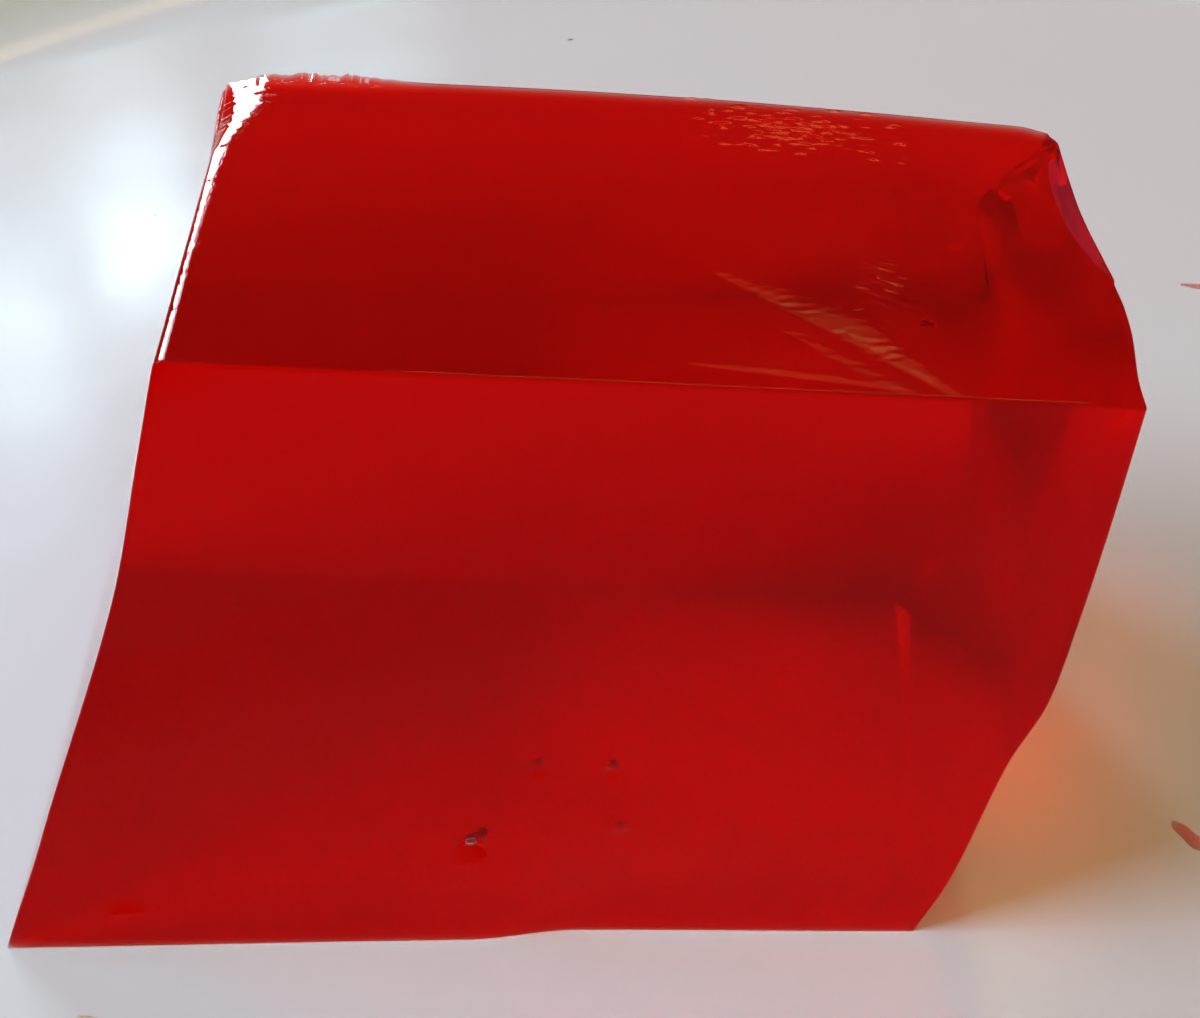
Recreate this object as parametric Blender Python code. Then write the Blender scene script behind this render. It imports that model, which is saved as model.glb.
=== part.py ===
import math

import bmesh
import bpy
from mathutils import Vector

# Metres, +Z up. The origin is under the middle of the plate.

plateRadius = 0.105
plateHeight = 0.0150
wellRadius = 0.090          # flat part of the upper side
wellLevel = 0.0065          # height of the upper side above the table
plateThickness = 0.0038
lipRadius = 0.0016          # rounding of the rim
wallCurve = 2.2             # above 1, the wall leaves the flat part gently
wallSteps = 8               # rows of faces up the curved wall
footRadius = 0.058          # outer radius of the ring the plate stands on
footWidth = 0.0045
footHeight = 0.0022
footTaper = 0.0006
plateSegments = 96

jellyWidth = 0.046          # left to right, the same at the bottom and the top
jellyHeight = 0.0303
sideLean = math.radians(16.6)      # both side cuts lean to the right
frontLeanLeft = math.radians(14.7)
frontLeanRight = math.radians(5.0)
depthLeft = 0.0400          # front to back along the bottom
depthRight = 0.0384
topDepthLeft = 0.0310
topDepthRight = 0.0282
frontSkew = 0.0013          # the front cut runs slightly away towards the right
backFlare = 0.0021          # the right cut runs outward towards the back, at the bottom
leftSpread = 0.0008         # and so does the left cut
jellyCorner = (-0.0470, -0.0437)   # front left corner of the bottom, seen from above
restGap = 0.0003
edgeRadius = 0.0004
gridCuts = 17

# Hand-cut faces: how far each side cut strays from a flat one, at a height from 0 to 1.
rightCut = (
    (0.0, 0.0),
    (0.12, 0.0008),
    (0.36, 0.0011),
    (0.47, 0.0017),
    (0.62, 0.0014),
    (0.80, 0.0008),
    (1.0, 0.0),
)
rightCutDepth = 0.22        # share of the depth over which that shape dies out
rightBow = 0.0012           # what is left of it behind
rightHollow = (             # the right cut draws in near the back, at a height from 0 to 1
    (0.0, 0.0),
    (0.30, 0.0),
    (0.50, -0.0012),
    (0.66, -0.0025),
    (0.80, -0.0019),
    (0.92, -0.0004),
    (1.0, 0.0),
)
rightHollowStart = 0.45     # shares of the depth where this begins and is full
rightHollowFull = 0.80
backCutLeft = (             # hollow of the back cut as a share of its lean, at a height from 0 to 1
    (0.0, 0.0),
    (0.15, 0.22),
    (0.30, 0.40),
    (0.45, 0.45),
    (0.60, 0.37),
    (0.80, 0.20),
    (1.0, 0.0),
)
backCutRight = (
    (0.0, 0.0),
    (0.20, 0.24),
    (0.40, 0.37),
    (0.55, 0.39),
    (0.70, 0.29),
    (0.85, 0.15),
    (1.0, 0.0),
)
backHang = 0.00068          # the upper part of the back cut overhangs a little
leftCut = ((0.0, -0.0003), (0.22, -0.0001), (0.61, 0.0007), (0.85, 0.0003), (1.0, 0.0))
leftCutFade = 0.6           # share of the left cut's hollow that is gone at the back
leftFlare = 0.0003          # the front left corner spreads at the foot
topSwell = 0.0005           # bulge of the right edge of the top
frontWave = 0.0006          # the right half of the front foot steps back
waveStart = 0.50            # where it does so, from left to right
waveLength = 0.12
backBow = 0.0011            # the back cut bows outward towards the top
cornerRound = 0.0007        # the back right corner is worn round
rimHeight = 0.0004          # torn lip along the left edge of the top
rimShare = 0.35             # its height at the front, against that at the back


def clearScene():
    for item in list(bpy.data.objects):
        bpy.data.objects.remove(item, do_unlink=True)


def makeMaterial(name, color, roughness, transmission=0.0, ior=1.45):
    material = bpy.data.materials.new(name)
    material.use_nodes = True
    shader = material.node_tree.nodes["Principled BSDF"]
    shader.inputs["Base Color"].default_value = (*color, 1.0)
    shader.inputs["Roughness"].default_value = roughness
    shader.inputs["Metallic"].default_value = 0.0
    shader.inputs["Transmission Weight"].default_value = transmission
    shader.inputs["IOR"].default_value = ior
    return material


def addObject(name, mesh, material):
    item = bpy.data.objects.new(name, mesh)
    bpy.context.scene.collection.objects.link(item)
    mesh.materials.append(material)
    mesh.shade_smooth()
    mesh.set_sharp_from_angle(angle=math.radians(35))
    return item


def smoothStep(value):
    value = min(max(value, 0.0), 1.0)
    return value * value * (3.0 - 2.0 * value)


def readCurve(points, place):
    for (start, low), (end, high) in zip(points, points[1:]):
        if place <= end:
            return low + (high - low) * (place - start) / (end - start)
    return points[-1][1]


def lipProfile():
    """The rounded rim, from its inner side over the top to its outer side."""
    centre = Vector((plateRadius - lipRadius, plateHeight - lipRadius))
    turns = [math.radians(angle) for angle in (120, 85, 50, 15, -20)]
    return [centre + lipRadius * Vector((math.cos(turn), math.sin(turn))) for turn in turns]


def wallProfile(level, inner, outer, rise):
    points = []
    for step in range(wallSteps + 1):
        share = step / wallSteps
        points.append(Vector((inner + (outer - inner) * share, level + rise * share ** wallCurve)))
    return points


def plateProfile():
    """From the middle of the upper side, over the rim, to the middle of the underside."""
    lip = lipProfile()
    upper = wallProfile(wellLevel, wellRadius, lip[0].x, lip[0].y - wellLevel)
    under = wellLevel - plateThickness
    lower = wallProfile(under, wellRadius, lip[-1].x, lip[-1].y - under)
    foot = [
        Vector((footRadius, under)),
        Vector((footRadius - footTaper, 0.0)),
        Vector((footRadius - footWidth, 0.0)),
        Vector((footRadius - footWidth - footTaper, footHeight)),
    ]
    centre = Vector((0.0, wellLevel))
    return [centre] + upper[:-1] + lip + lower[-2::-1] + foot + [Vector((0.0, footHeight))]


def addPlate():
    mesh = bpy.data.meshes.new("plate")
    points = [(point.x, 0.0, point.y) for point in plateProfile()]
    edges = [(index, index + 1) for index in range(len(points) - 1)]
    mesh.from_pydata(points, edges, [])
    plate = addObject("plate", mesh, makeMaterial("glazedCeramic", (0.80, 0.80, 0.79), 0.18))
    turned = plate.modifiers.new("turned", "SCREW")
    turned.steps = plateSegments
    turned.render_steps = plateSegments
    turned.use_merge_vertices = True
    turned.merge_threshold = 0.00005
    turned.use_smooth_shade = True
    return plate


def jellyCorners():
    """Eight corners by (right, back, top), measured from the front left corner of the bottom."""
    shift = jellyHeight * math.tan(sideLean)
    frontLeft = jellyHeight * math.tan(frontLeanLeft)
    frontRight = frontSkew + jellyHeight * math.tan(frontLeanRight)
    return {
        (0, 0, 0): Vector((0.0, 0.0, 0.0)),
        (1, 0, 0): Vector((jellyWidth, frontSkew, 0.0)),
        (0, 1, 0): Vector((-leftSpread, depthLeft, 0.0)),
        (1, 1, 0): Vector((jellyWidth + backFlare, frontSkew + depthRight, 0.0)),
        (0, 0, 1): Vector((shift, frontLeft, jellyHeight)),
        (1, 0, 1): Vector((jellyWidth + shift, frontRight, jellyHeight)),
        (0, 1, 1): Vector((shift, frontLeft + topDepthLeft, jellyHeight)),
        (1, 1, 1): Vector((jellyWidth + shift, frontRight + topDepthRight, jellyHeight)),
    }


def blend(corners, right, back, up):
    point = Vector()
    for (x, y, z), corner in corners.items():
        weight = (right if x else 1 - right) * (back if y else 1 - back) * (up if z else 1 - up)
        point += corner * weight
    return point


def rightStray(back, up):
    """The shape of the right cut: its curve in front, a bow and a hollow behind."""
    atFront = smoothStep(1.0 - back / rightCutDepth)
    bow = rightBow * math.sin(math.pi * up)
    behind = smoothStep((back - rightHollowStart) / (rightHollowFull - rightHollowStart))
    return bow + (readCurve(rightCut, up) - bow) * atFront + readCurve(rightHollow, up) * behind


def backHollow(corners, right, up):
    """How far the back cut lies in front of a flat one."""
    lean = (corners[(0, 1, 0)].y - corners[(0, 1, 1)].y) * (1.0 - right)
    lean += (corners[(1, 1, 0)].y - corners[(1, 1, 1)].y) * right
    lean += backHang - backBow * math.sin(math.pi * right)
    return lean * (readCurve(backCutLeft, up) * (1.0 - right) + readCurve(backCutRight, up) * right)


def sideStray(right, back, up):
    """How far the side cuts lie to the right of flat ones."""
    atRight = smoothStep(right * 1.4 - 0.4)
    atLeft = smoothStep(1.0 - right * 1.4)
    stray = rightStray(back, up) * atRight
    stray += readCurve(leftCut, up) * atLeft * (1.0 - leftCutFade * back)
    stray -= leftFlare * atLeft * (1.0 - back) ** 3 * smoothStep(1.0 - up * 5.0)
    swell = math.sin(math.pi * min(back / 0.75, 1.0)) ** 2
    stray += topSwell * swell * smoothStep(right * 2.0 - 1.0) * smoothStep(up * 3.0 - 2.0)
    return stray


def cutShape(corners, right, back, up):
    """A point of the hand-cut block, from its place in a unit cube."""
    point = blend(corners, right, back, up)
    point.x += sideStray(right, back, up)
    point.y -= backHollow(corners, right, up) * back ** 3
    waveEnd = waveStart + waveLength
    wave = smoothStep((right - waveStart) / waveLength) * min((1.0 - right) / (1.0 - waveEnd), 1.0)
    point.y += frontWave * wave * (1.0 - back) * smoothStep(1.0 - up * 4.0)
    point.y += backBow * math.sin(math.pi * right) * back * up
    worn = cornerRound * smoothStep(right * 14.0 - 13.0) * smoothStep(back * 14.0 - 13.0) * up
    point.x -= worn
    point.y -= worn
    lip = rimShare + (1.0 - rimShare) * smoothStep(back * 1.6 - 0.6)
    point.z += rimHeight * lip * up * smoothStep(1.0 - right * 12.0)
    return point


def addJelly():
    mesh = bpy.data.meshes.new("jelly")
    solid = bmesh.new()
    bmesh.ops.create_cube(solid, size=1.0)
    bmesh.ops.subdivide_edges(solid, edges=solid.edges[:], cuts=gridCuts, use_grid_fill=True)
    corners = jellyCorners()
    for vert in solid.verts:
        right, back, up = (value + 0.5 for value in vert.co)
        vert.co = cutShape(corners, right, back, up)
    bmesh.ops.recalc_face_normals(solid, faces=solid.faces[:])
    solid.to_mesh(mesh)
    solid.free()
    jelly = addObject("jelly", mesh, makeMaterial("redJelly", (0.55, 0.005, 0.004), 0.05, 0.9, 1.35))
    jelly.location = (*jellyCorner, wellLevel + restGap)
    rounding = jelly.modifiers.new("rounding", "BEVEL")
    rounding.width = edgeRadius
    rounding.segments = 2
    rounding.limit_method = "ANGLE"
    rounding.angle_limit = math.radians(50)
    return jelly


def main():
    clearScene()
    addPlate()
    addJelly()


main()
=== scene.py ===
import math

import bpy
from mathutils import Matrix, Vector, noise


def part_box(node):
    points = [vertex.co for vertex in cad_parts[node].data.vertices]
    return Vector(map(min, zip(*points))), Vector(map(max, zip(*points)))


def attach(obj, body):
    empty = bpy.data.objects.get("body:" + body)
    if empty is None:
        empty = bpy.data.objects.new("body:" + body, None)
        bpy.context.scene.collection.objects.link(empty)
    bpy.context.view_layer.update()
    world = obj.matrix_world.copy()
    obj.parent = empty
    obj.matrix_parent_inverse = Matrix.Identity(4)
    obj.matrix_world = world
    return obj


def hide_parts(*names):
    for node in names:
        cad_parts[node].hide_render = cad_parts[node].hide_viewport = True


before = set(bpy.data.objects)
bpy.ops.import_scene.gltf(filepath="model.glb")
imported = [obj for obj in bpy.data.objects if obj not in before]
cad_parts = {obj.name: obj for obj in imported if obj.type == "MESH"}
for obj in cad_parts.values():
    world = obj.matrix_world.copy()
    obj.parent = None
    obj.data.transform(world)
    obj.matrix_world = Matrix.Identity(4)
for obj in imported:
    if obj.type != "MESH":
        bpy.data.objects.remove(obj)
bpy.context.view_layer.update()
jellyLow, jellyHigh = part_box("jelly")
plateLow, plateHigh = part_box("plate")
restGap = 0.0003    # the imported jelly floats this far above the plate
print("frame loaded:", sorted(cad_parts))


def smoothStep(value):
    value = min(max(value, 0.0), 1.0)
    return value * value * (3.0 - 2.0 * value)


def hump(value, centre, halfWidth):  # 1 at the centre, 0 past the half width
    return smoothStep(1.0 - abs(value - centre) / halfWidth)


def readCurve(points, place):  # a smooth curve through (place, value) points
    last = len(points) - 1
    index = 0
    while index < last - 1 and place > points[index + 1][0]:
        index += 1
    (x0, y0), (x1, y1) = points[index], points[index + 1]
    span = x1 - x0
    share = min(max((place - x0) / span, 0.0), 1.0)
    slopes = []
    for knot in (index, index + 1):
        before = points[max(knot - 1, 0)]
        after = points[min(knot + 1, last)]
        slopes.append((after[1] - before[1]) / (after[0] - before[0]) * span)
    square = share * share
    cube = square * share
    value = (2.0 * cube - 3.0 * square + 1.0) * y0 + (3.0 * square - 2.0 * cube) * y1
    return value + (cube - 2.0 * square + share) * slopes[0] + (cube - square) * slopes[1]


def ripple(x, y, z=0.0):
    return noise.noise(Vector((x, y, z)))


def addPiece(name, points, faces, material):
    mesh = bpy.data.meshes.new(name)
    mesh.from_pydata(points, [], faces)
    mesh.validate()
    mesh.shade_smooth()
    mesh.materials.append(material)
    piece = bpy.data.objects.new(name, mesh)
    bpy.context.scene.collection.objects.link(piece)
    return piece


def newMaterial(name):
    material = bpy.data.materials.new(name)
    material.use_nodes = True
    nodes = material.node_tree.nodes
    return material, nodes, material.node_tree.links, nodes["Principled BSDF"]


def makeGrainGroup():  # soft unevenness of a finish: a value between two ends, and a height
    group = bpy.data.node_groups.new("surfaceGrain", "ShaderNodeTree")
    for name, value in (("Scale", 300.0), ("Detail", 3.0), ("Low", 0.1), ("High", 0.2)):
        socket = group.interface.new_socket(name, in_out="INPUT", socket_type="NodeSocketFloat")
        socket.default_value = value
    group.interface.new_socket("Value", in_out="OUTPUT", socket_type="NodeSocketFloat")
    group.interface.new_socket("Height", in_out="OUTPUT", socket_type="NodeSocketFloat")
    nodes = group.nodes
    links = group.links
    given = nodes.new("NodeGroupInput")
    out = nodes.new("NodeGroupOutput")
    place = nodes.new("ShaderNodeTexCoord")
    cloud = nodes.new("ShaderNodeTexNoise")
    spread = nodes.new("ShaderNodeMapRange")
    spread.inputs["From Min"].default_value = 0.3
    spread.inputs["From Max"].default_value = 0.7
    links.new(place.outputs["Object"], cloud.inputs["Vector"])
    links.new(given.outputs["Scale"], cloud.inputs["Scale"])
    links.new(given.outputs["Detail"], cloud.inputs["Detail"])
    links.new(cloud.outputs["Fac"], spread.inputs["Value"])
    links.new(given.outputs["Low"], spread.inputs["To Min"])
    links.new(given.outputs["High"], spread.inputs["To Max"])
    links.new(spread.outputs["Result"], out.inputs["Value"])
    links.new(cloud.outputs["Fac"], out.inputs["Height"])
    return group


grainGroup = makeGrainGroup()


def addGrain(nodes, scale, detail, low, high):
    grain = nodes.new("ShaderNodeGroup")
    grain.node_tree = grainGroup
    for name, value in (("Scale", scale), ("Detail", detail), ("Low", low), ("High", high)):
        grain.inputs[name].default_value = value
    return grain


def addBump(nodes, links, shader, height, distance, strength=1.0):
    relief = nodes.new("ShaderNodeBump")
    relief.inputs["Strength"].default_value = strength
    relief.inputs["Distance"].default_value = distance
    links.new(height, relief.inputs["Height"])
    links.new(relief.outputs["Normal"], shader.inputs["Normal"])


jellyBlock = {
    "width": 0.046,
    "rim": 0.0004,              # torn lip along the left edge of the top
    "sideLean": 16.6,           # degrees, both side cuts lean to the right
    "frontLean": (14.7, 5.0),   # left, right
    "depth": (0.0400, 0.0384),  # left, right, along the foot
    "topDepth": (0.0310, 0.0282),
    "frontSkew": 0.0013,
    "backFlare": 0.0021,
    "leftSpread": 0.0008,
    "corner": (-0.0470, -0.0437),   # front left corner of the foot
    "sunk": 0.0005,             # the wet foot reaches just into the plate
    "edge": 0.00015,            # rounding of the cut edges
    "rightCut": (
        (0.0, 0.0), (0.12, 0.0008), (0.36, 0.0011), (0.47, 0.0017), (0.62, 0.0014), (0.80, 0.0008), (1.0, 0.0),
    ),
    "rightCutDepth": 0.22,      # share of the depth over which that curve dies out
    "rightBow": 0.0012,         # what is left of it behind
    "rightHollow": ((0.0, 0.0), (0.30, 0.0), (0.50, -0.0012), (0.66, -0.0025), (0.80, -0.0019), (0.92, -0.0004), (1.0, 0.0)),
    "rightHollowFrom": 0.45,    # and the part of the depth where this hollow begins
    "backCut": (                # hollow of the back cut by height, at the left and at the right
        ((0.0, 0.0), (0.15, 0.22), (0.30, 0.40), (0.45, 0.45), (0.60, 0.37), (0.80, 0.20), (1.0, 0.0)),
        ((0.0, 0.0), (0.20, 0.24), (0.40, 0.37), (0.55, 0.39), (0.70, 0.29), (0.85, 0.15), (1.0, 0.0)),
    ),
    "backHang": 0.00068,        # the upper part of the back cut overhangs by this over its height
    "leftCut": ((0.0, -0.0003), (0.22, -0.0001), (0.61, 0.0007), (0.85, 0.0003), (1.0, 0.0)),
    "leftFlare": 0.0003,
    "topSwell": 0.0005,
    "frontWave": 0.0006,
    "backBow": 0.0011,
    "cornerRound": 0.0004,
    "across": ((0.052, 0.00011), (0.22, 0.00022), (0.44, 0.0006), (0.83, 0.00026), (0.96, 0.0005), (1.0, 0.0002)),
    "deep": ((0.55, 0.0002), (1.0, 0.00012)),   # up to a share, face size
    "tall": ((0.13, 0.0006), (0.38, 0.00024), (1.0, 0.0007)),
}
topMarks = {
    "lip": ((0.0, 0.00045), (0.40, 0.00045), (0.62, 0.0006), (0.76, 0.0010), (0.88, 0.0019), (1.0, 0.0021)),
    "thinLip": ((0.0, 0.0), (0.66, 0.0), (0.76, 0.0004), (0.88, 0.0007), (0.97, 0.0004), (1.0, 0.0)),
    "thinSlope": 22.0,           # and its outer part falls this much more
    "lipSlope": 14.0,             # degrees, the torn strip along the left edge falls outward
    "lipRag": 0.0011,
    "lobe": 0.00035,             # the back left corner swells out
    "film": ((0.0, 0.0002), (0.05, 0.0004), (0.12, 0.0006), (0.19, 0.0003), (0.25, 0.0), (1.0, 0.0)),
    "slope": 5.6,                # degrees, ridges that catch the light behind
    "ridges": (  # line (right, back) to (right, back), widths in the back direction, fall-off behind
        ((0.600, 0.315), (0.806, 0.012), ((0.0, 0.0008), (0.30, 0.0022), (0.60, 0.0038), (0.80, 0.0020), (1.0, 0.0005))),
        ((0.610, 0.225), (0.757, 0.010), ((0.0, 0.0002), (0.5, 0.0006), (1.0, 0.0003))),
        ((0.560, 0.060), (0.760, 0.015), ((0.0, 0.0002), (0.5, 0.0005), (1.0, 0.0003))),
    ),
    "behind": 0.010,
    "skin": 0.000012,
    "wrinkles": {"right": (0.75, 0.07), "back": (0.36, 0.15), "pitch": 0.0011, "height": 0.000036},
    "tear": {"right": (0.12, 0.11), "reach": 0.0009, "pitch": 0.0014, "slope": 10.0, "fall": 4.0},
    "scales": {"right": (0.685, 0.13), "back": (0.90, 0.11), "pitch": 0.0006, "slope": 9.6},
    "dry": 0.22,                 # share of the back cut's dullness where the top is dry
    "worn": ((0.0, 0.0), (0.10, 0.0005), (0.30, 0.0006), (0.40, 0.0002), (0.48, 0.0010), (0.62, 0.0016), (0.85, 0.0014), (1.0, 0.0006)),
    "wornSlope": 12.0,           # degrees, the worn strip along the right edge
    "flap": {"back": (0.23, 0.17), "reach": 0.00014},   # a thin torn flap on the right edge
    "nick": (0.40, 0.016, 0.00008),   # on the right edge: how far back, half length, depth
    "wave": 0.00003,
}
frontMarks = {
    "pits": (  # right, up, radius, depth
        (0.471, 0.190, 0.00070, 0.00055),
        (0.513, 0.337, 0.00050, 0.00020),
        (0.592, 0.334, 0.00046, 0.00022),
        (0.623, 0.214, 0.00050, 0.00020),
        (0.552, 0.199, 0.00030, 0.00005),
        (0.414, 0.238, 0.00060, 0.00004),
        (0.576, 0.601, 0.00070, 0.00005),
    ),
    "wave": 0.000018,
}
jellyBlock["height"] = jellyHigh.z - jellyLow.z - jellyBlock["rim"]


def jellyCorners(block):
    height = block["height"]
    width = block["width"]
    shift = height * math.tan(math.radians(block["sideLean"]))
    left, right = (height * math.tan(math.radians(lean)) for lean in block["frontLean"])
    right += block["frontSkew"]
    return {
        (0, 0, 0): Vector((0.0, 0.0, 0.0)),
        (1, 0, 0): Vector((width, block["frontSkew"], 0.0)),
        (0, 1, 0): Vector((-block["leftSpread"], block["depth"][0], 0.0)),
        (1, 1, 0): Vector((width + block["backFlare"], block["frontSkew"] + block["depth"][1], 0.0)),
        (0, 0, 1): Vector((shift, left, height)),
        (1, 0, 1): Vector((width + shift, right, height)),
        (0, 1, 1): Vector((shift, left + block["topDepth"][0], height)),
        (1, 1, 1): Vector((width + shift, right + block["topDepth"][1], height)),
    }


def backHollow(block, corners, right, up):  # upright above, flaring towards the foot
    flareLeft, flareRight = (corners[(side, 1, 0)].y - corners[(side, 1, 1)].y for side in (0, 1))
    slope = flareLeft + (flareRight - flareLeft) * right
    slope += block["backHang"] - block["backBow"] * math.sin(math.pi * right)
    left, far = (readCurve(curve, up) for curve in block["backCut"])
    return slope * (left + (far - left) * right)


def ridgeRise(marks, right, back, depth):  # ridges with a face to the front and a long back
    rise = 0.0
    slope = math.tan(math.radians(marks["slope"]))
    for (x0, y0), (x1, y1), widths in marks["ridges"]:
        along = (right - x0) / (x1 - x0)
        ends = smoothStep(along * 5.0 + 1.0) * smoothStep((1.0 - along) * 7.0 + 1.0)
        if ends == 0.0:
            continue
        width = readCurve(widths, min(max(along, 0.0), 1.0)) * ends
        width *= 1.0 + 0.25 * ripple(right * 36.0, y0 * 50.0)
        behind = (back - y0 - (y1 - y0) * along) * depth
        if behind > 0.0:
            inside = min(behind, width)
            crest = slope * (inside - 0.42 * inside * inside / max(width, 1e-6))
            crest += marks["skin"] * ends * ripple(right * 110.0, back * 90.0) * smoothStep(behind / 0.0004)
            rise += crest * (1.0 - smoothStep((behind - width) / marks["behind"]))
    return rise


def topRelief(block, marks, right, back):
    side = right * block["width"]
    depth = block["topDepth"][0]
    rag = 0.7 * ripple(back * 34.0, 3.0) + 0.9 * ripple(back * 78.0 + side * 900.0, side * 500.0, 5.0)
    rag += 0.6 * ripple(back * 130.0 + side * 1500.0, side * 900.0, 8.0)
    lip = readCurve(marks["lip"], back)
    rise = 0.0
    if side < lip + marks["lipRag"] * rag * (0.22 + back ** 4):
        rise -= math.tan(math.radians(marks["lipSlope"])) * (lip - side)
        thin = readCurve(marks["thinLip"], back) * (1.0 + 0.3 * ripple(back * 80.0, 1.0))
        rise -= math.tan(math.radians(marks["thinSlope"])) * max(thin - side, 0.0)
    wear = readCurve(marks["worn"], back)
    worn = max(wear - block["width"] + side, 0.0)
    worn = worn * worn / 0.0010 if worn < 0.0005 else worn - 0.00025
    rise -= math.tan(math.radians(marks["wornSlope"])) * worn
    rise += ridgeRise(marks, right, back, depth)
    wrinkles = marks["wrinkles"]
    share = hump(right, *wrinkles["right"]) * hump(back, *wrinkles["back"])
    if share > 0.0:
        bend = back * depth + 0.0012 * math.sin(right * 40.0) + 0.0006 * ripple(right * 50.0, back * 40.0)
        rise += wrinkles["height"] * share * math.sin(bend / wrinkles["pitch"] * 2.0 * math.pi)
    tear = marks["tear"]
    share = hump(right, *tear["right"]) * smoothStep((tear["reach"] - (1.0 - back) * depth) / 0.0002)
    if share > 0.0:
        count = side / tear["pitch"] + 1.4 * ripple(side * 500.0, 6.0)
        flake = math.tan(math.radians(tear["slope"])) * tear["pitch"] * (count % 1.0)
        rise += share * (flake - math.tan(math.radians(tear["fall"])) * (tear["reach"] - (1.0 - back) * depth))
    scales = marks["scales"]
    share = hump(right, *scales["right"]) * hump(back, *scales["back"])
    if share > 0.0:
        count = back * depth / scales["pitch"] + 1.6 * ripple(right * 34.0, back * 12.0, 5.0)
        patchy = ripple(right * 60.0, back * 75.0, 9.0) + 0.6 * ripple(right * 130.0, back * 110.0, 4.0)
        patchy = smoothStep((patchy + 0.75 * share - 0.42) * 4.0)
        rise += scales["pitch"] * math.tan(math.radians(scales["slope"])) * patchy * (count % 1.0)
    return rise + marks["wave"] * ripple(side * 160.0, back * depth * 160.0, 2.0)


def frontRelief(block, marks, right, up):  # how far the front cut lies back
    side = right * block["width"]
    height = up * block["height"]
    depth = marks["wave"] * (ripple(side * 60.0, height * 900.0) + 2.0 * ripple(side * 90.0, height * 150.0, 4.0))
    for x, z, radius, deep in marks["pits"]:
        away = math.hypot(side - x * block["width"], (height - z * block["height"]) * 1.25) / radius
        if away < 3.0:
            depth += deep * (math.exp(-away ** 2.5) - 0.22 * math.exp(-((away - 1.35) / 0.35) ** 2))
    return depth


def edgeMarks(marks, point, right, back, up):
    nearTop = smoothStep((up - 0.982) / 0.014)
    lobe = smoothStep(1.0 - right * 20.0) * smoothStep(back * 3.0 - 2.0) * smoothStep(up * 5.0 - 4.0)
    point.x -= marks["lobe"] * lobe
    film = readCurve(marks["film"], right) * (1.0 + 0.9 * ripple(right * 130.0, 1.0))
    point.y += max(film, 0.0) * nearTop * smoothStep(back * 60.0 - 59.0)
    flap = marks["flap"]
    point.x += flap["reach"] * hump(back, *flap["back"]) * nearTop * smoothStep(right * 50.0 - 49.0)
    place, half, depth = marks["nick"]
    step = smoothStep((place - back) / half + 1.0) if back > place else smoothStep((back - place) / half * 0.2 + 1.0)
    point.x -= depth * step * nearTop * smoothStep(right * 50.0 - 49.0)


def cutShape(block, corners, right, back, up):
    point = Vector()
    for (x, y, z), corner in corners.items():
        point += corner * ((right if x else 1 - right) * (back if y else 1 - back) * (up if z else 1 - up))
    atRight = smoothStep(right * 1.4 - 0.4)
    atLeft = smoothStep(1.0 - right * 1.4)
    atFront = smoothStep(1.0 - back / block["rightCutDepth"])
    behind = smoothStep((back - block["rightHollowFrom"]) / (0.8 - block["rightHollowFrom"]))
    bow = block["rightBow"] * math.sin(math.pi * up)
    stray = bow + (readCurve(block["rightCut"], up) - bow) * atFront
    point.x += (stray + readCurve(block["rightHollow"], up) * behind) * atRight
    point.y -= backHollow(block, corners, right, up) * back ** 3
    point.x += readCurve(block["leftCut"], up) * atLeft * (1.0 - 0.6 * back)
    point.x -= block["leftFlare"] * atLeft * (1.0 - back) ** 3 * smoothStep(1.0 - up * 5.0)
    swell = math.sin(math.pi * min(back / 0.75, 1.0)) ** 2
    point.x += block["topSwell"] * swell * smoothStep(right * 2.0 - 1.0) * smoothStep(up * 3.0 - 2.0)
    wave = smoothStep((right - 0.50) / 0.12) * min((1.0 - right) / 0.38, 1.0)
    point.y += block["frontWave"] * wave * (1.0 - back) * smoothStep(1.0 - up * 4.0)
    point.y += block["backBow"] * math.sin(math.pi * right) * back * up
    worn = block["cornerRound"] * smoothStep(right * 22.0 - 21.0) * smoothStep(back * 18.0 - 17.0) * up
    point.x -= worn
    point.y -= worn
    edgeMarks(topMarks, point, right, back, up)
    if up > 0.985:
        point.z += topRelief(block, topMarks, right, back) * smoothStep((up - 0.985) / 0.01)
    if back < 0.012:
        point.y += frontRelief(block, frontMarks, right, up) * smoothStep(1.2 - back * 100.0)
    return point


def dullness(marks, place, onBack, onTop):  # 1 on the duller back cut, less where the top is dry
    right, back, up = place
    if onBack:
        return smoothStep((1.0 - right) / 0.3) * smoothStep((1.0 - up) / 0.2)
    if not onTop:
        return 0.0
    dry = 0.0
    for (x0, y0), (x1, y1), widths in marks["ridges"]:
        along = (right - x0) / (x1 - x0)
        near = 1.0 - abs(back - y0 - (y1 - y0) * along - 0.04) / 0.10
        dry = max(dry, smoothStep(along * 6.0 + 1.5) * smoothStep((1.0 - along) * 6.0 + 1.5) * smoothStep(near))
    scales = marks["scales"]
    dry = max(dry, 0.3 * hump(right, *scales["right"]) * hump(back, *scales["back"]))
    return marks["dry"] * dry


def axisPlaces(length, edge, spans):
    near = [edge * share for share in (0.0, 0.12, 0.3, 0.55, 1.0, 1.6)]
    places = list(near)
    end = length - near[-1]
    for share, size in spans:
        stop = min(share * length, end)
        count = max(1, round((stop - places[-1]) / size))
        start = places[-1]
        places += [start + (stop - start) * step / count for step in range(1, count + 1)]
    places += [length - value for value in reversed(near[:-1])]
    return [place / length for place in places]


def roundEdge(place, sizes, radius):  # moves a point on the unit box's skin onto a rounded edge
    point = Vector(value * size for value, size in zip(place, sizes))
    core = Vector(min(max(value, radius), size - radius) for value, size in zip(point, sizes))
    out = point - core
    if out.length > 1e-9:
        point = core + out.normalized() * radius
    return [value / size for value, size in zip(point, sizes)]


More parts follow.
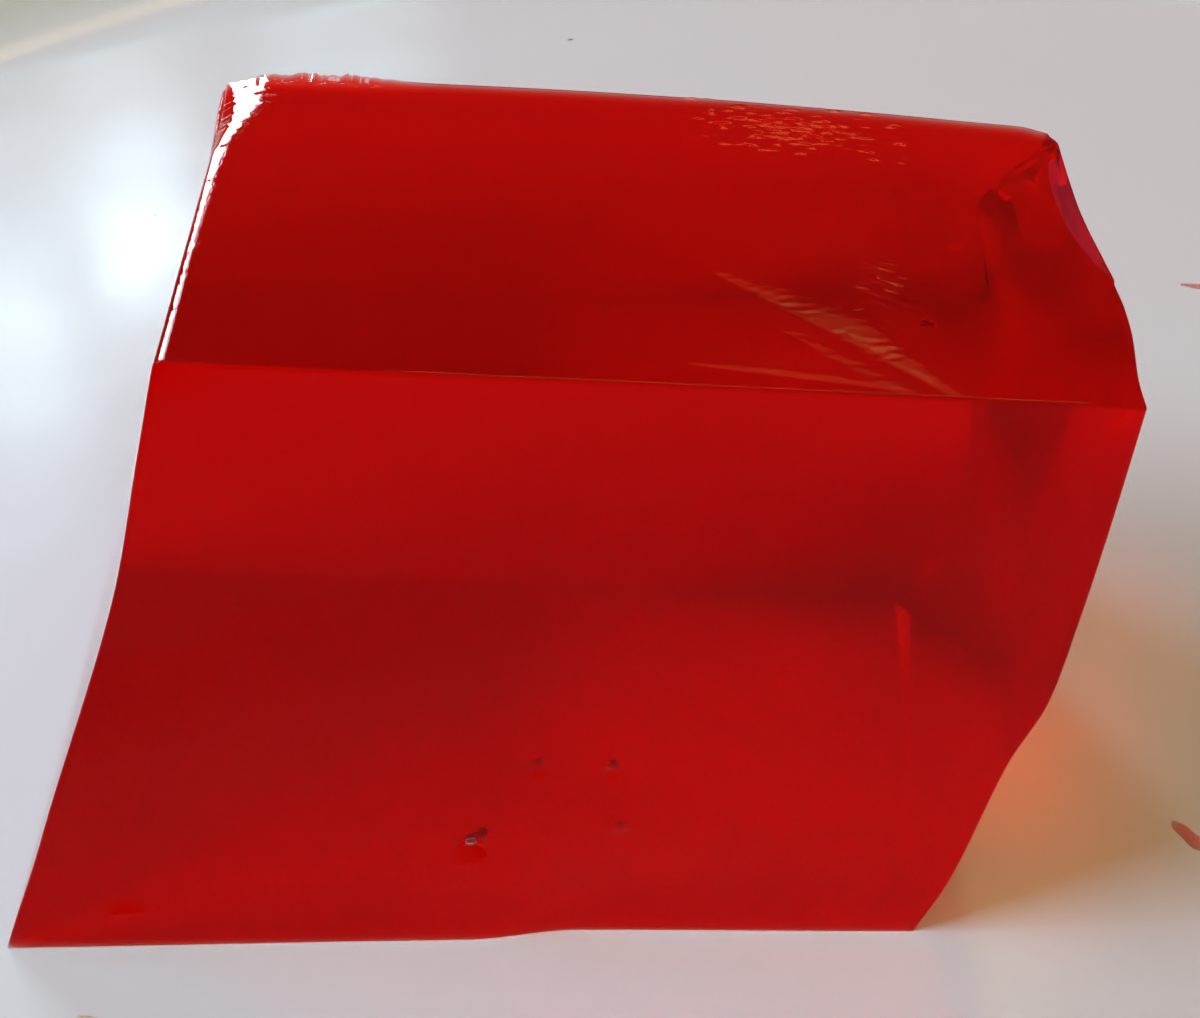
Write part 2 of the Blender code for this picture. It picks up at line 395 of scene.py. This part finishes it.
def jellyPoints(block):
    corners = jellyCorners(block)
    sizes = (block["width"], block["depth"][0], block["height"])
    spans = (block["across"], block["deep"], block["tall"])
    axes = [axisPlaces(size, block["edge"], span) for size, span in zip(sizes, spans)]
    last = [len(axis) - 1 for axis in axes]
    index = {}
    points = []
    cuts = []

    def pick(i, j, k):
        key = (i, j, k)
        if key not in index:
            index[key] = len(points)
            place = roundEdge((axes[0][i], axes[1][j], axes[2][k]), sizes, block["edge"])
            points.append(cutShape(block, corners, *place))
            cuts.append(dullness(topMarks, place, j == last[1] and k < last[2], k == last[2]))
        return index[key]

    faces = []
    for i in range(last[0]):  # top
        for j in range(last[1]):
            k = last[2]
            faces.append([pick(i, j, k), pick(i + 1, j, k), pick(i + 1, j + 1, k), pick(i, j + 1, k)])
    ring = [pick(0, j, 0) for j in range(last[1])] + [pick(i, last[1], 0) for i in range(last[0])]
    ring += [pick(last[0], j, 0) for j in range(last[1], 0, -1)] + [pick(i, 0, 0) for i in range(last[0], 0, -1)]
    faces.append(ring)  # foot
    for j, flip in ((0, False), (last[1], True)):  # front and back
        for i in range(last[0]):
            for k in range(last[2]):
                quad = [pick(i, j, k), pick(i + 1, j, k), pick(i + 1, j, k + 1), pick(i, j, k + 1)]
                faces.append(quad[::-1] if flip else quad)
    for i, flip in ((0, True), (last[0], False)):  # left and right
        for j in range(last[1]):
            for k in range(last[2]):
                quad = [pick(i, j, k), pick(i, j + 1, k), pick(i, j + 1, k + 1), pick(i, j, k + 1)]
                faces.append(quad[::-1] if flip else quad)
    return points, cuts, faces


jellyFinish = {
    "ior": 1.345,
    "roughness": 0.012,
    "absorb": (0.99718, 0.14, 0.04),
    "density": 3300.0,
    "gleam": (1.0, 0.34, 0.34),
    "cutRoughness": 0.5,       # the back cut is duller than the rest
}


def jellyMaterial(look):
    material, nodes, links, shader = newMaterial("redJelly")
    shader.inputs["Base Color"].default_value = (1.0, 1.0, 1.0, 1.0)
    shader.inputs["Roughness"].default_value = look["roughness"]
    shader.inputs["Transmission Weight"].default_value = 1.0
    shader.inputs["IOR"].default_value = look["ior"]
    shader.inputs["Specular Tint"].default_value = (*look["gleam"], 1.0)
    dull = nodes.new("ShaderNodeAttribute")
    dull.attribute_name = "dullCut"
    finish = nodes.new("ShaderNodeMapRange")
    finish.inputs["To Min"].default_value = look["roughness"]
    finish.inputs["To Max"].default_value = look["cutRoughness"]
    links.new(dull.outputs["Fac"], finish.inputs["Value"])
    links.new(finish.outputs["Result"], shader.inputs["Roughness"])
    absorb = nodes.new("ShaderNodeVolumeAbsorption")
    absorb.inputs["Color"].default_value = (*look["absorb"], 1.0)
    absorb.inputs["Density"].default_value = look["density"]
    links.new(absorb.outputs["Volume"], nodes["Material Output"].inputs["Volume"])
    return material


def insideJelly(block, right, back, up):  # a place in the finished block
    point = cutShape(block, jellyCorners(block), right, back, up)
    point.x += block["corner"][0]
    point.y += block["corner"][1]
    point.z += jellyLow.z - restGap
    return point


def makeJelly(block):
    points, cuts, faces = jellyPoints(block)
    jelly = addPiece("jellyBlock", points, faces, jellyMaterial(jellyFinish))
    dull = jelly.data.attributes.new("dullCut", "FLOAT", "POINT")
    for number, share in enumerate(cuts):
        dull.data[number].value = share
    foot = jellyLow.z - restGap - block["sunk"]
    stretch = (jellyHigh.z - block["rim"] - foot) / block["height"]
    for vert in jelly.data.vertices:
        vert.co.z = foot + vert.co.z * stretch
        vert.co.x += block["corner"][0]
        vert.co.y += block["corner"][1]
    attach(jelly, "root")
    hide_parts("jelly")
    print("jelly:", len(jelly.data.polygons), "faces")
    return jelly


plateShape = {
    "radius": 0.1049,
    "height": plateHigh.z,
    "lipRadius": 0.0016,
    "wellRadius": 0.090,
    "wellLevel": jellyLow.z - restGap,
    "thickness": 0.0038,
    "wallCurve": 2.2,
    "footRadius": 0.058,
    "footWidth": 0.0045,
    "footHeight": 0.0022,
    "turns": 220,
    "wallSteps": 26,
}
glaze = {
    "color": (0.72, 0.735, 0.74),
    "roughness": (0.13, 0.18),
    "wetRoughness": 0.9,        # under the jelly the glaze is wet and shows no gloss
    "wetCentre": (-0.0234, -0.0239),
    "wetSize": (0.0468, 0.0392),
}


def plateProfile(shape):
    radius = shape["lipRadius"]
    lipCentre = Vector((shape["radius"] - radius, shape["height"] - radius))
    turns = [math.radians(120 - 14 * step) for step in range(11)]
    lip = [lipCentre + radius * Vector((math.cos(turn), math.sin(turn))) for turn in turns]
    well = shape["wellLevel"]
    under = well - shape["thickness"]
    upper = []
    lower = []
    for step in range(shape["wallSteps"] + 1):
        share = step / shape["wallSteps"]
        rise = share ** shape["wallCurve"]
        start = shape["wellRadius"]
        upper.append(Vector((start + (lip[0].x - start) * share, well + (lip[0].y - well) * rise)))
        lower.append(Vector((start + (lip[-1].x - start) * share, under + (lip[-1].y - under) * rise)))
    outer = shape["footRadius"]
    inner = outer - shape["footWidth"]
    foot = [(outer, under), (outer - 0.0003, under - 0.0004), (outer - 0.0006, 0.0003), (outer - 0.0010, 0.0)]
    foot += [(inner + 0.0004, 0.0), (inner, 0.0003), (inner - 0.0005, shape["footHeight"]), (0.03, shape["footHeight"])]
    flat = [(0.0, well), (0.02, well), (0.04, well), (0.06, well), (0.075, well)]
    profile = [Vector(point) for point in flat] + upper[:-1] + lip + lower[-2::-1]
    return profile + [Vector(point) for point in foot] + [Vector((0.0, shape["footHeight"]))]


def wetMask(nodes, links, look):  # 1 on the rectangle under the jelly
    place = nodes.new("ShaderNodeTexCoord")
    parts = nodes.new("ShaderNodeSeparateXYZ")
    links.new(place.outputs["Object"], parts.inputs["Vector"])
    both = nodes.new("ShaderNodeMath")
    both.operation = "MULTIPLY"
    for index, (axis, centre, size) in enumerate(zip("XY", look["wetCentre"], look["wetSize"])):
        near = nodes.new("ShaderNodeMath")
        near.operation = "COMPARE"
        near.inputs[1].default_value = centre
        near.inputs[2].default_value = size / 2
        links.new(parts.outputs[axis], near.inputs[0])
        links.new(near.outputs["Value"], both.inputs[index])
    return both.outputs["Value"]


def plateMaterial(look):
    material, nodes, links, shader = newMaterial("glazedCeramic")
    shader.inputs["Base Color"].default_value = (*look["color"], 1.0)
    grain = addGrain(nodes, 90.0, 2.0, *look["roughness"])
    finish = nodes.new("ShaderNodeMix")
    finish.inputs["B"].default_value = look["wetRoughness"]
    links.new(wetMask(nodes, links, look), finish.inputs["Factor"])
    links.new(grain.outputs["Value"], finish.inputs["A"])
    links.new(finish.outputs["Result"], shader.inputs["Roughness"])
    addBump(nodes, links, shader, grain.outputs["Height"], 0.00004)
    return material


def makePlate(shape):
    profile = plateProfile(shape)
    count = shape["turns"]
    points = []
    rings = []
    for place in profile:
        if place.x < 1e-6:
            rings.append([len(points)] * count)
            points.append((0.0, 0.0, place.y))
            continue
        rings.append(list(range(len(points), len(points) + count)))
        for turn in range(count):
            angle = 2.0 * math.pi * turn / count
            points.append((place.x * math.cos(angle), place.x * math.sin(angle), place.y))
    faces = []
    for upper, lower in zip(rings, rings[1:]):
        for turn in range(count):
            after = (turn + 1) % count
            corners = [upper[after], upper[turn], lower[turn], lower[after]]
            faces.append(list(dict.fromkeys(corners)))
    plate = addPiece("plateBody", points, faces, plateMaterial(glaze))
    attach(plate, "root")
    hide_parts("plate")
    print("plate:", len(faces), "faces")
    return plate


def addBall(points, faces, centre, radii, around, seed, rough=0.0, inward=False):
    rings = around // 2
    start = len(points)
    points.append(centre + Vector((0.0, 0.0, radii[2])))
    for ring in range(1, rings):
        polar = math.pi * ring / rings
        for step in range(around):
            turn = 2.0 * math.pi * step / around
            way = Vector((math.sin(polar) * math.cos(turn), math.sin(polar) * math.sin(turn), math.cos(polar)))
            size = 1.0 + rough * ripple(way.x * 2.0 + seed, way.y * 2.0, way.z * 2.0)
            points.append(centre + Vector(part * radius * size for part, radius in zip(way, radii)))
    points.append(centre - Vector((0.0, 0.0, radii[2])))
    last = len(points) - 1
    for ring in range(rings):
        for step in range(around):
            after = (step + 1) % around
            upper = start + 1 + (ring - 1) * around
            lower = upper + around
            if ring == 0:
                face = [start, lower + step, lower + after]
            elif ring == rings - 1:
                face = [upper + step, last, upper + after]
            else:
                face = [upper + step, lower + step, lower + after, upper + after]
            faces.append(face[::-1] if inward else face)


bubbleSettings = {
    "bubbles": (  # right, back, up, radius
        (0.471, 0.022, 0.184, 0.00048),
        (0.481, 0.024, 0.198, 0.00036),
        (0.513, 0.022, 0.337, 0.00026),
        (0.517, 0.026, 0.328, 0.00020),
        (0.592, 0.024, 0.334, 0.00026),
        (0.597, 0.024, 0.325, 0.00018),
        (0.623, 0.022, 0.214, 0.00026),
        (0.552, 0.020, 0.199, 0.00009),
        (0.576, 0.020, 0.601, 0.00010),
        (0.013, 0.012, 0.030, 0.00016),
        (0.801, 0.280, 0.950, 0.00034),
        (0.807, 0.270, 0.955, 0.00026),
        (0.796, 0.262, 0.960, 0.00022),
        (0.560, 0.205, 0.940, 0.00010),
    ),
    "around": 20,
    "uneven": 0.25,
    # the dark tint is painted shade: light passing through each bubble is darkened so the pits and dots look shaded
    "color": (0.34, 0.12, 0.12),
}
speckSettings = {
    "specks": (  # right and back on the top, radius
        (0.332, 0.755, 0.00011),
        (0.124, 0.713, 0.00008),
        (0.022, 0.409, 0.00010),
        (0.348, 0.262, 0.00010),
        (0.638, 0.179, 0.00018),
        (0.218, 0.066, 0.00008),
        (0.724, 0.390, 0.00009),
        (0.738, 0.396, 0.00007),
        (0.722, 0.350, 0.00008),
        (0.730, 0.352, 0.00006),
        (0.704, 0.300, 0.00007),
    ),
    "around": 12,
    "uneven": 0.5,
}
crumbSettings = {
    "place": (-0.0424, -0.0493),
    "radii": (0.00075, 0.00050, 0.00038),
    "around": 36,
    "uneven": 0.7,
    "color": (0.80, 0.68, 0.34),
    "roughness": (0.45, 0.65),
}


def thinJellyMaterial():
    material = jellyMaterial(jellyFinish)
    material.name = "thinJelly"
    return material


def makeBubbles(look, block):
    points = []
    faces = []
    for number, (right, back, up, radius) in enumerate(look["bubbles"]):
        radii = (radius, radius * 0.9, radius)
        place = insideJelly(block, right, back, up)
        addBall(points, faces, place, radii, look["around"], number * 5.0, look["uneven"], True)
    # real bubbles in shape, but their dark base colour is painted shade, and they keep the jelly's IOR rather than
    # air's
    material, nodes, links, shader = newMaterial("trappedAirPaintedShade")
    shader.inputs["Base Color"].default_value = (*look["color"], 1.0)
    shader.inputs["Roughness"].default_value = 0.0
    shader.inputs["Transmission Weight"].default_value = 1.0
    shader.inputs["IOR"].default_value = jellyFinish["ior"]
    bubbles = addPiece("airBubblesPaintedDark", points, faces, material)
    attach(bubbles, "root")
    print("bubbles:", len(look["bubbles"]))


def makeSpecks(look, block):
    points = []
    faces = []
    for number, (right, back, radius) in enumerate(look["specks"]):
        place = insideJelly(block, right, back, 1.0)
        radii = (radius, radius * 0.8, radius * 0.7)
        addBall(points, faces, place, radii, look["around"], number * 3.0, look["uneven"])
    specks = addPiece("surfaceSpecks", points, faces, thinJellyMaterial())
    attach(specks, "root")
    print("specks:", len(look["specks"]))


def makeCrumb(look):
    points = []
    faces = []
    x, y = look["place"]
    centre = Vector((x, y, plateShape["wellLevel"] + look["radii"][2] * 0.75))
    addBall(points, faces, centre, look["radii"], look["around"], 2.0, look["uneven"])
    material, nodes, links, shader = newMaterial("yellowCrumb")
    shader.inputs["Base Color"].default_value = (*look["color"], 1.0)
    grain = addGrain(nodes, 2600.0, 3.0, *look["roughness"])
    links.new(grain.outputs["Value"], shader.inputs["Roughness"])
    addBump(nodes, links, shader, grain.outputs["Height"], 0.00008)
    crumb = addPiece("crumb", points, faces, material)
    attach(crumb, "root")
    print("crumb set")


smearSettings = {
    "spots": (  # x, y, length, width, turn in degrees, height
        (-0.0678, 0.0718, 0.0013, 0.0007, -35.0, 0.00004),
        (-0.0513, 0.0354, 0.0009, 0.0004, 0.0, 0.00003),
        (-0.0487, 0.0362, 0.0005, 0.0004, 20.0, 0.00003),
        (-0.0196, 0.0676, 0.0009, 0.0007, 60.0, 0.00003),
        (0.0198, 0.0605, 0.0005, 0.0004, 0.0, 0.00003),
        (0.0196, 0.0585, 0.0007, 0.0004, 0.0, 0.00004),
        (0.0268, 0.0244, 0.0023, 0.0008, -12.0, 0.00016),
        (0.0148, -0.0350, 0.0030, 0.0010, -62.0, 0.00022),
    ),
    "sunk": 0.00003,
    "rings": 7,
    "around": 28,
}


def plateSurface(x, y):  # height of the plate's upper side
    shape = plateShape
    reach = shape["radius"] - shape["lipRadius"] * 1.5 - shape["wellRadius"]
    share = max(math.hypot(x, y) - shape["wellRadius"], 0.0) / reach
    return shape["wellLevel"] + (shape["height"] - shape["lipRadius"] * 0.13 - shape["wellLevel"]) * share ** shape["wallCurve"]


def makeSmears(look):  # thin smudges of jelly left on the plate
    points = []
    faces = []
    rings = look["rings"]
    around = look["around"]
    for number, (x, y, length, width, turn, height) in enumerate(look["spots"]):
        cosTurn = math.cos(math.radians(turn))
        sinTurn = math.sin(math.radians(turn))
        start = len(points)
        for ring in range(rings + 1):
            share = ring / rings
            for step in range(around):
                angle = 2.0 * math.pi * step / around
                uneven = 1.0 + 0.35 * ripple(math.cos(angle) * 1.4, math.sin(angle) * 1.4, number * 7.0)
                along = math.cos(angle) * share * uneven * length / 2
                aside = math.sin(angle) * share * uneven * width / 2 * (1.0 + 0.3 * math.cos(angle))
                spot = (x + along * cosTurn - aside * sinTurn, y + along * sinTurn + aside * cosTurn)
                swell = (1.0 - share ** 2.5) * (0.8 + 0.5 * ripple(along * 2500.0, aside * 2500.0, number))
                points.append((*spot, plateSurface(*spot) + height * swell - look["sunk"] * share))
        for ring in range(rings):
            for step in range(around):
                inner = start + ring * around
                after = (step + 1) % around
                quad = [inner + step, inner + around + step, inner + around + after, inner + after]
                faces.append(quad if ring else [start, quad[1], quad[2]])
        rim = start + rings * around
        faces.append([rim + step for step in reversed(range(around))])
    smears = addPiece("jellySmears", points, faces, thinJellyMaterial())
    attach(smears, "root")
    print("smears:", len(look["spots"]))
    return smears


studio = {
    "camera": {"offset": (0.00702, -0.09276, 0.09213), "tilt": 35.0, "lens": 75.0},
    "floor": 1.4,
    "room": {
        "toward": (0.35, -0.50, 0.79),  # the light side of the room
        "span": (0.25, 1.0),
        "dark": (0.42, 0.050, 0.035),
        "light": (0.42, 0.49, 0.22),
        "seen": (0.56, 0.55, 0.55),
    },
    "lamps": {  # azimuth from +Y towards +X, elevation, distance, width, height, watts, colour
        "leftWindow": (-105.0, 46.0, 0.9, 0.40, 0.22, 4.4, (0.66, 0.78, 1.0)),
        "leftSky": (-71.0, 46.0, 0.9, 0.45, 0.22, 2.9, (0.30, 0.69, 1.0)),
        "lipWindow": (-20.5, 16.5, 1.2, 0.14, 0.17, 1.9, (0.65, 0.95, 1.0)),
        "lipWindowHigh": (-22.5, 25.0, 1.2, 0.12, 0.17, 1.2, (0.65, 0.95, 1.0)),
        "paneNear": (-12.3, 26.3, 1.2, 0.05, 0.07, 0.15, (0.66, 0.90, 1.0)),
        "paneFar": (-16.0, 29.0, 1.2, 0.05, 0.07, 0.09, (0.62, 0.86, 1.0)),
        "paneSide": (-17.5, 36.0, 1.2, 0.12, 0.46, 0.22, (0.50, 0.86, 1.0)),
        "paneHigh": (-6.5, 22.5, 1.2, 0.09, 0.05, 0.04, (0.50, 0.90, 1.0)),
        "rightBack": (22.0, 19.5, 1.2, 0.18, 0.18, 0.036, (0.75, 0.18, 0.46)),
        "warmBack": (4.0, 46.5, 1.2, 0.36, 0.22, 0.52, (1.0, 0.75, 0.28)),
        "warmLow": (6.0, 38.5, 1.2, 0.38, 0.10, 0.135, (1.0, 0.27, 0.10)),
    },
}


def aimPoint(block):
    x, y = block["corner"]
    return Vector((x + block["width"] / 2, y + block["frontSkew"] / 2, plateShape["wellLevel"]))


def makeCamera(look, aim):
    data = bpy.data.cameras.new("camera")
    data.lens = look["lens"]
    data.sensor_width = 36.0
    camera = bpy.data.objects.new("camera", data)
    camera.location = aim + Vector(look["offset"])
    camera.rotation_euler = (math.radians(90.0 - look["tilt"]), 0.0, 0.0)
    bpy.context.scene.collection.objects.link(camera)
    bpy.context.scene.camera = camera


def makeFloor(size):
    points = [(-size, -size, 0.0), (size, -size, 0.0), (size, size, 0.0), (-size, size, 0.0)]
    material, nodes, links, shader = newMaterial("paleFloor")
    shader.inputs["Base Color"].default_value = (0.62, 0.61, 0.60, 1.0)
    grain = addGrain(nodes, 40.0, 4.0, 0.5, 0.7)
    links.new(grain.outputs["Value"], shader.inputs["Roughness"])
    floor = addPiece("floor", points, [(0, 1, 2, 3)], material)
    floor.location.z = -0.0002


def addLamp(name, aim, azimuth, elevation, distance, width, height, watts, color):
    turn = math.radians(azimuth)
    rise = math.radians(elevation)
    away = Vector((math.sin(turn) * math.cos(rise), math.cos(turn) * math.cos(rise), math.sin(rise)))
    data = bpy.data.lights.new(name, "AREA")
    data.shape = "RECTANGLE"
    data.size = width
    data.size_y = height
    data.energy = watts
    data.color = color
    lamp = bpy.data.objects.new(name, data)
    lamp.location = aim + away * distance
    lamp.rotation_euler = away.to_track_quat("Z", "Y").to_euler()
    bpy.context.scene.collection.objects.link(lamp)


def makeWorld(room):  # a dim room, lighter and warm on one side
    world = bpy.data.worlds.new("room")
    world.use_nodes = True
    nodes = world.node_tree.nodes
    links = world.node_tree.links
    place = nodes.new("ShaderNodeTexCoord")
    along = nodes.new("ShaderNodeVectorMath")
    along.operation = "DOT_PRODUCT"
    along.inputs[1].default_value = Vector(room["toward"]).normalized()
    rise = nodes.new("ShaderNodeMapRange")
    rise.interpolation_type = "SMOOTHSTEP"
    rise.inputs["From Min"].default_value = room["span"][0]
    rise.inputs["From Max"].default_value = room["span"][1]
    shade = nodes.new("ShaderNodeMix")
    shade.data_type = "RGBA"
    shade.inputs["A"].default_value = (*room["dark"], 1.0)
    shade.inputs["B"].default_value = (*room["light"], 1.0)
    links.new(place.outputs["Generated"], along.inputs[0])
    links.new(along.outputs["Value"], rise.inputs["Value"])
    links.new(rise.outputs["Result"], shade.inputs["Factor"])
    seen = nodes.new("ShaderNodeLightPath")   # behind the floor's edge the room looks pale
    pale = nodes.new("ShaderNodeMix")
    pale.data_type = "RGBA"
    pale.inputs["B"].default_value = (*room["seen"], 1.0)
    links.new(seen.outputs["Is Camera Ray"], pale.inputs["Factor"])
    links.new(shade.outputs["Result"], pale.inputs["A"])
    links.new(pale.outputs["Result"], nodes["Background"].inputs["Color"])
    bpy.context.scene.world = world


jelly = makeJelly(jellyBlock)
plate = makePlate(plateShape)
makeBubbles(bubbleSettings, jellyBlock)
makeSpecks(speckSettings, jellyBlock)
makeSmears(smearSettings)
makeCrumb(crumbSettings)
aim = aimPoint(jellyBlock)
makeCamera(studio["camera"], aim)
makeFloor(studio["floor"])
makeWorld(studio["room"])
for lampName, settings in studio["lamps"].items():
    addLamp(lampName, aim, *settings)
bpy.context.scene.view_settings.view_transform = "Standard"
bpy.context.scene.cycles.sample_clamp_indirect = 0.0   # keeps the light that falls through the jelly
bpy.context.scene.cycles.blur_glossy = 0.0
bpy.context.scene.cycles.denoising_input_passes = "RGB"   # no seams from the walls seen through the jelly
print("camera and light set")
